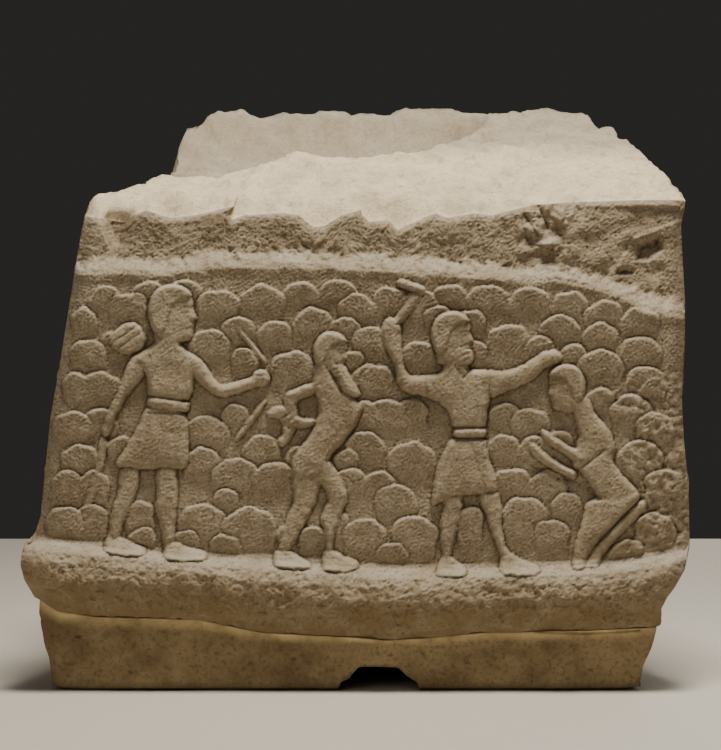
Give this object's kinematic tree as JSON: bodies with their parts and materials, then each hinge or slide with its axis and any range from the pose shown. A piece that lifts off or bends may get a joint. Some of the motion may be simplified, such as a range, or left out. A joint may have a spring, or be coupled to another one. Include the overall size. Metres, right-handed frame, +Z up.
{
  "type": "victory stele",
  "caption": "Squat boulder-like stone stele with a carved front panel of a war scene over scale-shaped hills, a broken sloping top, and a level cast foot with a strap slot.",
  "frame": {"origin": "centre of the bounding box in X and Y, on the flat underside of the cast foot in Z", "axes": "+X to the right as seen from the carved front, +Y from the carved front towards the rough back, +Z up"},
  "size_m": [0.7016, 0.4854, 0.646],
  "materials": {
    "carved_stone": "pecked and weathered, matte",
    "foot_mortar": "trowelled toned mortar, matte"
  },
  "bodies": {
    "root": {"carved_block": "carved_stone", "cast_foot": "foot_mortar"}
  },
  "joints": []
}
